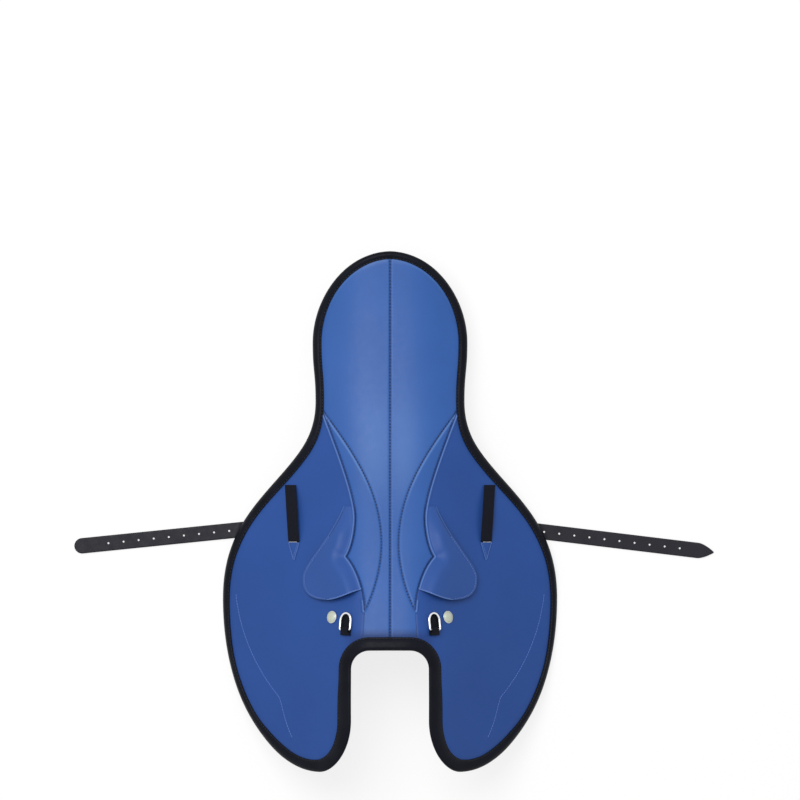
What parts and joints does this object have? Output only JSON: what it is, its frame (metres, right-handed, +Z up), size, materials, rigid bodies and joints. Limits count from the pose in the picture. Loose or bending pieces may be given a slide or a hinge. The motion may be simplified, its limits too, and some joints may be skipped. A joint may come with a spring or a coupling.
{
  "type": "racing saddle",
  "caption": "Light flat-racing saddle with a padded leather top, wide round flaps, a square notch at the pommel, small skirts and girth straps at the sides.",
  "frame": {"origin": "on the floor under the middle of the saddle, half way between the cantle's end and the flaps' toes", "axes": "+Z up, +Y toward the cantle (rear), -Y toward the horse's head, X across the saddle"},
  "size_m": [0.8031, 0.6488, 0.1586],
  "materials": {
    "seat_leather": "satin blue coated leather",
    "flap_leather": "satin blue coated leather",
    "binding_leather": "soft black",
    "strap_leather": "waxed black",
    "webbing": "woven black",
    "foam": "matt",
    "lining": "matt black",
    "tree": "moulded",
    "girth_web": "woven natural",
    "ring_steel": "polished",
    "stud_metal": "pale plating",
    "fitting_steel": "plated"
  },
  "bodies": {
    "saddle": {"seat_cover_left": "seat_leather", "seat_cover_right": "seat_leather", "waist_leaf_left": "seat_leather", "waist_leaf_right": "seat_leather", "flap_cover_left": "flap_leather", "flap_cover_right": "flap_leather", "loop_tab_left": "flap_leather", "loop_tab_right": "flap_leather", "edge_binding": "binding_leather", "dee_chape_left": "binding_leather", "dee_chape_right": "binding_leather", "surcingle_loop_left": "webbing", "surcingle_loop_right": "webbing", "billet_web": "girth_web", "seat_foam": "foam", "flap_foam_left": "foam", "flap_foam_right": "foam", "flap_lining_left": "lining", "flap_lining_right": "lining", "panel_pad_left": "lining", "panel_pad_right": "lining", "tree": "tree", "head_plate": "fitting_steel", "stirrup_bar_left": "fitting_steel", "stirrup_bar_right": "fitting_steel", "bar_rivet_inner_left": "fitting_steel", "bar_rivet_inner_right": "fitting_steel", "bar_rivet_outer_left": "fitting_steel", "bar_rivet_outer_right": "fitting_steel", "head_rivet_lower_left": "fitting_steel", "head_rivet_lower_right": "fitting_steel", "head_rivet_upper_left": "fitting_steel", "head_rivet_upper_right": "fitting_steel", "head_stud_left": "stud_metal", "head_stud_right": "stud_metal"},
    "right_skirt": {"skirt_right": "flap_leather"},
    "left_skirt": {"skirt_left": "flap_leather"},
    "right_billet": {"billet_right": "strap_leather"},
    "left_billet": {"billet_left": "strap_leather"},
    "right_dee": {"dee_right": "ring_steel"},
    "left_dee": {"dee_left": "ring_steel"}
  },
  "joints": [
    {"name": "right_skirt_lift", "type": "hinge", "parent": "saddle", "child": "right_skirt", "pos_m": [0.04476, 0.0065, 0.10049], "axis": [-0.0982, -0.9355, 0.3395], "range_deg": [0, 70]},
    {"name": "left_skirt_lift", "type": "hinge", "parent": "saddle", "child": "left_skirt", "pos_m": [-0.04476, 0.0065, 0.10049], "axis": [-0.0982, 0.9355, -0.3395], "range_deg": [0, 70]},
    {"name": "right_billet_swing", "type": "hinge", "parent": "saddle", "child": "right_billet", "pos_m": [0.084, -0.013, 0.07101], "axis": [0.1109, 0.9166, -0.3841], "range_deg": [0, 50]},
    {"name": "left_billet_swing", "type": "hinge", "parent": "saddle", "child": "left_billet", "pos_m": [-0.084, -0.013, 0.07101], "axis": [0.0937, -0.9227, 0.374], "range_deg": [0, 50]},
    {"name": "right_dee_swing", "type": "hinge", "parent": "saddle", "child": "right_dee", "pos_m": [0.05794, -0.1459, 0.14229], "axis": [0.8172, 0, -0.5764], "range_deg": [0, 140]},
    {"name": "left_dee_swing", "type": "hinge", "parent": "saddle", "child": "left_dee", "pos_m": [-0.05794, -0.1459, 0.14229], "axis": [0.8172, 0, 0.5764], "range_deg": [0, 140]}
  ]
}
